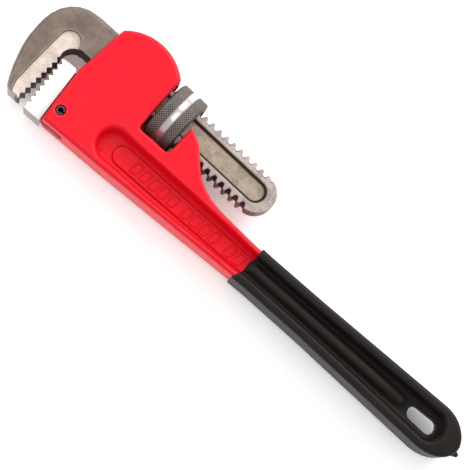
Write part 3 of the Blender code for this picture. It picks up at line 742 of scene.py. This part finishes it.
def group(name, inputs, outputs):
    """A shader node group with named sockets; returns it with its input and output nodes."""
    tree = bpy.data.node_groups.new(name, "ShaderNodeTree")
    for label, kind, default in inputs:
        socket = tree.interface.new_socket(label, in_out="INPUT", socket_type="NodeSocket" + kind)
        socket.default_value = default
    for label, kind in outputs:
        tree.interface.new_socket(label, in_out="OUTPUT", socket_type="NodeSocket" + kind)
    return tree, tree.nodes.new("NodeGroupInput"), tree.nodes.new("NodeGroupOutput")


def feed(tree, node, **inputs):
    """Link or set a node's inputs: _0 is the first, and Base_Color is "Base Color"."""
    for key, value in inputs.items():
        socket = node.inputs[int(key[1:]) if key[0] == "_" else key.replace("_", " ")]
        if isinstance(value, bpy.types.NodeSocket):
            tree.links.new(value, socket)
        else:
            socket.default_value = value
    return node


def add(tree, kind, settings=None, **inputs):
    """A node, with its settings and inputs."""
    node = tree.nodes.new("ShaderNode" + kind)
    for key, value in (settings or {}).items():
        setattr(node, key, value)
    return feed(tree, node, **inputs)


def mix(tree, factor, a, b):
    """Colour a to colour b by factor."""
    return add(tree, "Mix", {"data_type": "RGBA"}, _0=factor, _6=a, _7=b).outputs[2]


def maths(tree, way, a, b=0.0, clamp=False):
    """Two values put together by Blender's Math node."""
    return add(tree, "Math", {"operation": way, "use_clamp": clamp}, _0=a, _1=b).outputs[0]


def ramp(tree, value, low, high, to_low=0.0, to_high=1.0):
    """value from low..high to to_low..to_high, held at the ends."""
    return add(tree, "MapRange", None, Value=value, From_Min=low, From_Max=high,
               To_Min=to_low, To_Max=to_high).outputs[0]


def mask(tree, name):
    """A value that the piece carries at each vertex."""
    return add(tree, "Attribute", {"attribute_name": name}).outputs["Fac"]


def noise(tree, where, scale, detail, rough=0.5):
    """Blender's noise at a place."""
    return add(tree, "TexNoise", None, Vector=where, Scale=scale, Detail=detail,
               Roughness=rough).outputs["Fac"]


def make_mottle():
    """Blotches at two scales between a dark and a light colour, for scale and oil stains."""
    tree, into, out = group("Mottle", [
        ("Dark", "Color", (0, 0, 0, 1)), ("Light", "Color", (1, 1, 1, 1)),
        ("Blotch Scale", "Float", 120.0), ("Grain Scale", "Float", 1400.0),
        ("Contrast", "Float", 0.5)], [("Color", "Color"), ("Height", "Float")])
    where = add(tree, "TexCoord").outputs["Object"]
    blotch = noise(tree, where, into.outputs["Blotch Scale"], 4.0, 0.6)
    grain = noise(tree, where, into.outputs["Grain Scale"], 3.0, 0.7)
    both_scales = maths(tree, "ADD", maths(tree, "MULTIPLY", blotch, 0.6),
                        maths(tree, "MULTIPLY", grain, 0.4))
    spread = maths(tree, "MULTIPLY", maths(tree, "SUBTRACT", both_scales, 0.5),
                   maths(tree, "MULTIPLY", into.outputs["Contrast"], 6.0))
    factor = maths(tree, "ADD", spread, 0.5, clamp=True)
    feed(tree, out, Color=mix(tree, factor, into.outputs["Dark"], into.outputs["Light"]),
         Height=both_scales)
    return tree


def make_wear_and_painted_light():
    """Colour that changes along edges and in corners, broken up by fine noise: lighter edges
    for wear and a painted highlight, darker corners for grime and painted shade.
    """
    tree, into, out = group("Wear And Painted Light", [
        ("Base", "Color", (1, 1, 1, 1)), ("Edge Color", "Color", (1, 1, 1, 1)),
        ("Corner Color", "Color", (0, 0, 0, 1)), ("Edge Amount", "Float", 0.5),
        ("Corner Amount", "Float", 0.5)], [("Color", "Color")])
    where = add(tree, "TexCoord").outputs["Object"]
    broken = ramp(tree, noise(tree, where, 420.0, 3.0), 0.35, 0.65, 0.45, 1.0)
    edge = maths(tree, "MULTIPLY", ramp(tree, mask(tree, "edge"), 0.05, 0.8), broken)
    edge = maths(tree, "MULTIPLY", edge, into.outputs["Edge Amount"], clamp=True)
    hollow = maths(tree, "MULTIPLY", ramp(tree, mask(tree, "hollow"), 0.05, 0.8),
                   into.outputs["Corner Amount"], clamp=True)
    cornered = mix(tree, hollow, into.outputs["Base"], into.outputs["Corner Color"])
    feed(tree, out, Color=mix(tree, edge, cornered, into.outputs["Edge Color"]))
    return tree


def make_fine_bump():
    """Height of a fine skin: soft ripples with a finer grit on them."""
    tree, into, out = group("Fine Skin", [
        ("Ripple Scale", "Float", 300.0), ("Grit Scale", "Float", 2500.0),
        ("Grit Amount", "Float", 0.3)], [("Height", "Float")])
    where = add(tree, "TexCoord").outputs["Object"]
    ripple = noise(tree, where, into.outputs["Ripple Scale"], 2.0)
    grit = maths(tree, "MULTIPLY", noise(tree, where, into.outputs["Grit Scale"], 2.0),
                 into.outputs["Grit Amount"])
    feed(tree, out, Height=maths(tree, "ADD", ripple, grit))
    return tree


def shaded(c, by):
    """A colour made lighter or darker, with full alpha."""
    return (*(min(1.0, v * by) for v in c), 1.0)


def place_group(tree, made, **inputs):
    """A node group, with its inputs."""
    return add(tree, "Group", {"node_tree": made}, **inputs)


def blank(name):
    """An empty node material with its Principled shader."""
    mat = bpy.data.materials.new(name)
    mat.use_nodes = True
    return mat, mat.node_tree, mat.node_tree.nodes["Principled BSDF"]


def bump(tree, bsdf, height, strength, distance):
    """Raise the surface by a height value."""
    node = add(tree, "Bump", None, Height=height, Strength=strength, Distance=distance)
    feed(tree, bsdf, Normal=node.outputs[0])


class Finishes:
    """The wrench's materials, each made once."""

    def __init__(self, colours):
        self.colours = colours
        self.mottle = make_mottle()
        self.wear_and_light = make_wear_and_painted_light()
        self.skin = make_fine_bump()

    def mottled(self, tree, c, dark, light, blotch, grain, contrast):
        """Colour c in blotches from dark to light times itself, and their height."""
        node = place_group(tree, self.mottle, Dark=shaded(c, dark), Light=shaded(c, light),
                           Blotch_Scale=blotch, Grain_Scale=grain, Contrast=contrast)
        return node.outputs["Color"], node.outputs["Height"]

    def worn_with_painted_light(self, tree, base, edge, corner, edge_amount, corner_amount):
        """A colour with its edges lightened and its corners darkened: wear and grime, and
        partly a painted highlight and painted shade.
        """
        node = place_group(tree, self.wear_and_light, Base=base, Edge_Color=edge, Corner_Color=corner,
                           Edge_Amount=edge_amount, Corner_Amount=corner_amount)
        return node.outputs["Color"]

    def roughen(self, tree, bsdf, ripple, grit, amount, strength, distance=0.0004):
        """Raise a fine skin on the surface."""
        node = place_group(tree, self.skin, Ripple_Scale=ripple, Grit_Scale=grit,
                           Grit_Amount=amount)
        bump(tree, bsdf, node.outputs["Height"], strength, distance)

    def red_enamel(self):
        """Glossy enamel, thinner and lighter on edges, partly as a painted highlight; darker in
        corners, as grime and painted shade.
        """
        c = self.colours.paint
        mat, tree, bsdf = blank("Red Enamel")
        now, height = self.mottled(tree, c, 0.93, 1.04, 45.0, 700.0, 0.5)
        now = self.worn_with_painted_light(tree, now, (0.90, 0.055, 0.085, 1), shaded(c, 0.55), 0.6, 0.4)
        # Painted shade: darker red in the recesses and at the feet of the frames, and near black on
        # the faces that the inside mask marks.
        now = mix(tree, maths(tree, "MULTIPLY", mask(tree, "painted_shade"), 0.18), now,
                  (0.52, 0.0, 0.004, 1))
        now = mix(tree, mask(tree, "inside"), now, (0.030, 0.008, 0.008, 1))
        feed(tree, bsdf, Base_Color=now, Specular_IOR_Level=0.14,
             Roughness=ramp(tree, height, 0.3, 0.7, 0.30, 0.42))
        self.roughen(tree, bsdf, 260.0, 1500.0, 0.15, 0.22)
        return mat

    def black_vinyl(self):
        """Satin dipped vinyl with faint flow ripples, paler on edges."""
        c = self.colours.vinyl
        mat, tree, bsdf = blank("Black Vinyl")
        now, height = self.mottled(tree, c, 0.8, 1.35, 60.0, 900.0, 0.4)
        now = self.worn_with_painted_light(tree, now, shaded(c, 2.2), shaded(c, 0.6), 0.5, 0.6)
        feed(tree, bsdf, Base_Color=now, Specular_IOR_Level=0.12,
             Roughness=ramp(tree, height, 0.3, 0.7, 0.36, 0.52))
        self.roughen(tree, bsdf, 140.0, 1600.0, 0.2, 0.18)
        return mat

    def forged_steel(self):
        """Scaled forging with ground lands, milled flats and an oiled pocket. The walls and
        flanks that the "wall" mask marks are darkened nearly to black: painted shade, on the
        pocket's walls partly grime."""
        col = self.colours
        mat, tree, bsdf = blank("Forged Steel")
        now, height = self.mottled(tree, col.forging, 0.72, 1.34, 110.0, 1100.0, 0.85)
        now = self.worn_with_painted_light(tree, now, (0.42, 0.37, 0.37, 1), (0.05, 0.035, 0.025, 1), 0.6, 0.8)
        faces = (("ground", col.ground, 0.6), ("milled", col.milled, 0.9), ("floor", col.tan, 1.2))
        for name, c, contrast in faces:
            face, _ = self.mottled(tree, c, 0.74, 1.2, 150.0, 1100.0, contrast)
            now = mix(tree, mask(tree, name), now, face)
        # Painted shade: near black on the walls, the teeth, the throat and the thread's flanks.
        wall = maths(tree, "MULTIPLY", mask(tree, "wall"), 0.95)
        now = mix(tree, wall, now, (0.014, 0.010, 0.008, 1))
        feed(tree, bsdf, Base_Color=now, Metallic=0.35,
             Roughness=ramp(tree, height, 0.3, 0.7, 0.42, 0.62))
        self.roughen(tree, bsdf, 420.0, 2200.0, 0.5, 0.35)
        return mat

    def knurled_steel(self):
        """Grey knurled bands with bright crests, and a polished groove."""
        mat, tree, bsdf = blank("Knurled Steel")
        base, _ = self.mottled(tree, self.colours.knurled, 0.75, 1.3, 200.0, 1500.0, 0.5)
        band = mask(tree, "band")
        dark = mix(tree, 0.75, base, (0.03, 0.026, 0.024, 1))
        bands = mix(tree, ramp(tree, mask(tree, "knurl"), 0.1, 0.8), dark, base)
        feed(tree, bsdf, Base_Color=mix(tree, band, (0.62, 0.59, 0.58, 1), bands),
             Metallic=0.75, Roughness=ramp(tree, band, 0.0, 1.0, 0.24, 0.5))
        self.roughen(tree, bsdf, 900.0, 3000.0, 0.5, 0.15, 0.0002)
        return mat

    def bright_steel(self):
        """Bright plating over ground steel, with faint grinding lines."""
        c = self.colours.bright
        mat, tree, bsdf = blank("Bright Steel")
        where = add(tree, "TexCoord").outputs["Object"]
        stretched = add(tree, "Mapping", None, Vector=where, Scale=(4200.0, 160.0, 600.0))
        lines = noise(tree, stretched.outputs[0], 1.0, 3.0)
        base, _ = self.mottled(tree, c, 0.9, 1.05, 110.0, 1200.0, 0.5)
        now = mix(tree, ramp(tree, lines, 0.3, 0.7, 0.0, 0.22), base, shaded(c, 0.7))
        feed(tree, bsdf, Base_Color=now, Metallic=0.55,
             Roughness=ramp(tree, lines, 0.3, 0.7, 0.26, 0.4))
        bump(tree, bsdf, lines, 0.12, 0.0002)
        return mat

    def dark_steel(self, name, c, rough):
        """Oiled spring or pin steel, and in other colours the heel jaw's faces that carry painted
        shade.
        """
        mat, tree, bsdf = blank(name)
        now, height = self.mottled(tree, c, 0.7, 1.3, 200.0, 1600.0, 0.6)
        feed(tree, bsdf, Base_Color=now, Metallic=0.85,
             Roughness=ramp(tree, height, 0.3, 0.7, rough - 0.06, rough + 0.08))
        self.roughen(tree, bsdf, 700.0, 2600.0, 0.4, 0.15, 0.0002)
        return mat


FINISHES = {}


def finish_of(name, *args):
    """The material that a Finishes method makes, made once."""
    if "set" not in FINISHES:
        FINISHES["set"] = Finishes(bpy.context.scene.wrench_colours)
    key = (name, *args[:1])
    if key not in FINISHES:
        FINISHES[key] = getattr(FINISHES["set"], name)(*args)
    return FINISHES[key]


def dress(obj, mat, slot, *more):
    """Give a piece its materials. The slot argument, the record's slot that they stand for, is
    not used.
    """
    index = np.zeros(len(obj.data.polygons), np.int32)
    obj.data.polygons.foreach_get("material_index", index)
    obj.data.materials.clear()
    for one in (mat, *more):
        obj.data.materials.append(one)
    obj.data.polygons.foreach_set("material_index", np.minimum(index, len(more)))


# ------------------------------------------------------------------ operators

class WRENCH_OT_casting(bpy.types.Operator):
    """Build the painted handle casting and the raised frames on its panel"""

    bl_idname = "wrench.casting"
    bl_label = "Handle Casting"

    def execute(self, context):
        sizes = context.scene.wrench_sizes
        for obj in [build_casting(sizes), *build_relief(sizes)]:
            dress(obj, finish_of("red_enamel"), "red_paint")
        return {"FINISHED"}


class WRENCH_OT_grip(bpy.types.Operator):
    """Build the dipped grip"""

    bl_idname = "wrench.grip"
    bl_label = "Dipped Grip"

    def execute(self, context):
        dress(build_grip(context.scene.wrench_sizes), finish_of("black_vinyl"), "black_vinyl")
        return {"FINISHED"}


class WRENCH_OT_jaws(bpy.types.Operator):
    """Build the hook jaw with its shank, the heel jaw and the heel jaw's pin"""

    bl_idname = "wrench.jaws"
    bl_label = "Jaws and Pin"

    def execute(self, context):
        dress(build_hook(context.scene.wrench_sizes), finish_of("forged_steel"), "forged_steel")
        # Painted shade: the heel jaw's toothed face takes the pin's dark steel, and its tongue and
        # underside darker colours of their own.
        dark = finish_of("dark_steel", "Pin Steel", (0.10, 0.09, 0.085), 0.38)
        tongue = finish_of("dark_steel", "Painted Tongue", (0.20, 0.0, 0.006), 0.5)
        under = finish_of("dark_steel", "Ground Underside", (0.36, 0.32, 0.32), 0.5)
        dress(build_heel(), finish_of("bright_steel"), "bright_steel", dark, tongue, under)
        dress(build_pin(), dark, "pin_steel")
        return {"FINISHED"}


class WRENCH_OT_nut(bpy.types.Operator):
    """Build the knurled adjusting nut"""

    bl_idname = "wrench.nut"
    bl_label = "Adjusting Nut"

    def execute(self, context):
        dress(build_nut(context.scene.wrench_sizes), finish_of("knurled_steel"), "knurled_steel")
        return {"FINISHED"}


class WRENCH_OT_springs(bpy.types.Operator):
    """Build the coil spring and finish the flat spring under it"""

    bl_idname = "wrench.springs"
    bl_label = "Springs"

    def execute(self, context):
        steel = finish_of("dark_steel", "Spring Steel",
                          tuple(context.scene.wrench_colours.spring), 0.34)
        dress(build_coil(), steel, "spring_steel")
        flat = frame["nodes"]["flat_spring"]
        for slot in flat.material_slots:
            slot.material = steel
        return {"FINISHED"}


class WRENCH_OT_stage(bpy.types.Operator):
    """Set up the pale floor, the soft light and the camera"""

    bl_idname = "wrench.stage"
    bl_label = "Stage"

    def execute(self, context):
        stage = context.scene.wrench_stage
        build_floor(stage)
        build_lights(stage)
        build_camera(stage)
        context.scene.view_settings.view_transform = "Standard"
        return {"FINISHED"}


def build_floor(stage):
    """A wide floor just under the wrench. It glows faintly, a painted light, and less where
    something is near, which paints a soft shadow there.
    """
    r, drop = 6.0, 0.0002
    near, dim_at, full_at = 0.03, 0.2, 0.45
    mesh = bpy.data.meshes.new("floor")
    mesh.from_pydata([(-r, -r, 0), (r, -r, 0), (r, r, 0), (-r, r, 0)], [], [(0, 1, 2, 3)])
    floor = bpy.data.objects.new("floor", mesh)
    floor.location.z = CAD_BOX[0][2] - drop
    bpy.context.scene.collection.objects.link(floor)
    mat, tree, bsdf = blank("Floor")
    # Painted light and shadow: the glow fades out where ambient occlusion finds something near.
    shade = add(tree, "AmbientOcclusion", {"samples": 6}, Distance=near).outputs["AO"]
    shine = mix(tree, ramp(tree, shade, dim_at, full_at), (0, 0, 0, 1), (1, 1, 1, 1))
    feed(tree, bsdf, Base_Color=(*stage.floor, 1), Roughness=0.7, Emission_Color=shine,
         Emission_Strength=stage.glow)
    mesh.materials.append(mat)


def area_light(name, at, target, width, power):
    """A square white light at a point, aimed at another."""
    data = bpy.data.lights.new(name, "AREA")
    data.shape = "SQUARE"
    data.size = width
    data.energy = power
    light = bpy.data.objects.new(name, data)
    light.location = at
    light.rotation_mode = "QUATERNION"
    light.rotation_quaternion = (Vector(target) - Vector(at)).to_track_quat("-Z", "Y")
    bpy.context.scene.collection.objects.link(light)


def build_lights(stage):
    """A key light from the nut's side, a weaker one above, and a white surround."""
    area_light("key", (0.12, 0.80, 0.62), (0, 0, 0), 0.7, stage.key_power)
    area_light("top", (-0.35, -0.05, 1.0), (0, 0, 0), 0.7, stage.key_power * 0.35)
    world = bpy.data.worlds.new("surround")
    world.use_nodes = True
    back = world.node_tree.nodes["Background"]
    back.inputs["Color"].default_value = (1.0, 0.99, 0.985, 1)
    back.inputs["Strength"].default_value = stage.sky
    bpy.context.scene.world = world


def build_camera(stage):
    """A camera above the wrench, leaning towards -y, turned so that the handle runs down
    to the right."""
    data = bpy.data.cameras.new("camera")
    data.lens = stage.lens
    data.sensor_width = 36.0
    camera = bpy.data.objects.new("camera", data)
    back = Vector((0.0, -math.sin(stage.tilt), math.cos(stage.tilt)))
    side = Vector((1.0, 0.0, 0.0))
    up = back.cross(side)
    c, s = math.cos(stage.roll), math.sin(stage.roll)
    right, top = side * c + up * s, up * c - side * s
    target = Vector((-0.0071, -0.0121, 0.0173))
    turn = Matrix((right, top, back)).transposed().to_4x4()
    camera.matrix_world = Matrix.Translation(target + back * stage.distance) @ turn
    bpy.context.scene.collection.objects.link(camera)
    bpy.context.scene.camera = camera


class WRENCH_PT_panel(bpy.types.Panel):
    """Sizes, colours and the steps that build the wrench"""

    bl_label = "Pipe Wrench"
    bl_idname = "WRENCH_PT_panel"
    bl_space_type = "VIEW_3D"
    bl_region_type = "UI"
    bl_category = "Pipe Wrench"

    def draw(self, context):
        layout = self.layout
        for label, name in (("Sizes", "wrench_sizes"), ("Colours", "wrench_colours"),
                            ("Stage", "wrench_stage")):
            group_of = getattr(context.scene, name)
            box = layout.box()
            box.label(text=label)
            for key in group_of.__annotations__:
                box.prop(group_of, key)
        for operator in OPERATORS:
            layout.operator(operator.bl_idname)


OPERATORS = (WRENCH_OT_casting, WRENCH_OT_grip, WRENCH_OT_jaws, WRENCH_OT_nut,
             WRENCH_OT_springs, WRENCH_OT_stage)
CLASSES = (WrenchSizes, WrenchColours, WrenchStage, *OPERATORS, WRENCH_PT_panel)


def register():
    for cls in CLASSES:
        bpy.utils.register_class(cls)
    bpy.types.Scene.wrench_sizes = PointerProperty(type=WrenchSizes)
    bpy.types.Scene.wrench_colours = PointerProperty(type=WrenchColours)
    bpy.types.Scene.wrench_stage = PointerProperty(type=WrenchStage)


def unregister():
    for name in ("wrench_sizes", "wrench_colours", "wrench_stage"):
        delattr(bpy.types.Scene, name)
    for cls in reversed(CLASSES):
        bpy.utils.unregister_class(cls)


def main():
    register()
    for step in (bpy.ops.wrench.casting, bpy.ops.wrench.grip, bpy.ops.wrench.jaws,
                 bpy.ops.wrench.nut, bpy.ops.wrench.springs, bpy.ops.wrench.stage):
        if step() != {"FINISHED"}:
            raise RuntimeError("a step did not finish")


if __name__ == "__main__":
    main()
